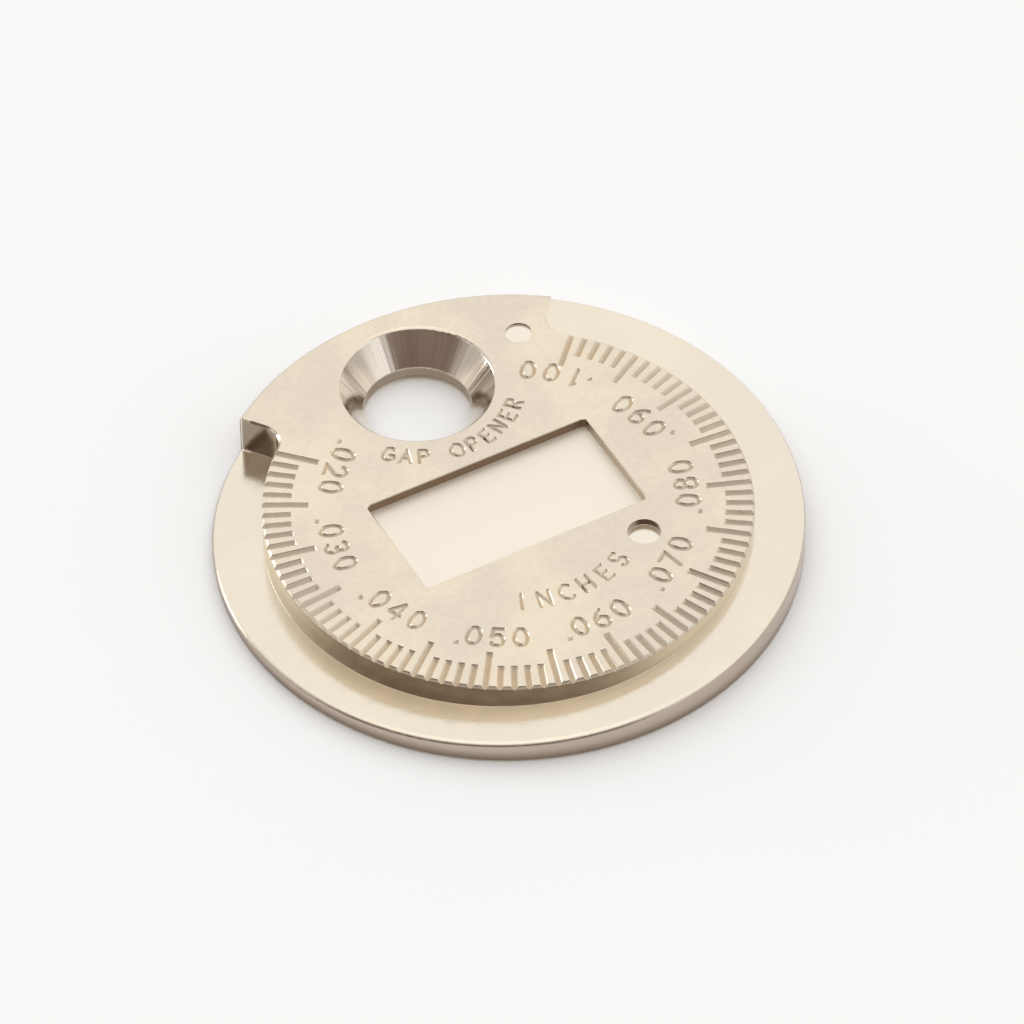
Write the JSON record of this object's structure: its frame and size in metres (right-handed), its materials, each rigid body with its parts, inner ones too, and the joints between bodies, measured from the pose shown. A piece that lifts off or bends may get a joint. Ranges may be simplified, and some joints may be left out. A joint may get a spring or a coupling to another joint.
{
  "type": "spark plug gap gauge",
  "caption": "Coin-shaped spark plug gap gauge: a disc with a ramped rim that measures the gap, an engraved scale on its raised dial, a countersunk opener hole and a shallow recess",
  "frame": {"origin": "the centre of the disc on its flat back, which is the face it lies on", "axes": "+Z out of the face with the inch scale, +Y from the centre towards the gap opener hole, +X to the right of it, where the rim is at its thickest end"},
  "size_m": [0.0318, 0.0318, 0.0027],
  "materials": {
    "nickel": "warm satin nickel plating on die-cast zinc, a little cloudy, darker in the engraving"
  },
  "bodies": {
    "root": {"gauge_disc": "nickel"}
  },
  "joints": []
}
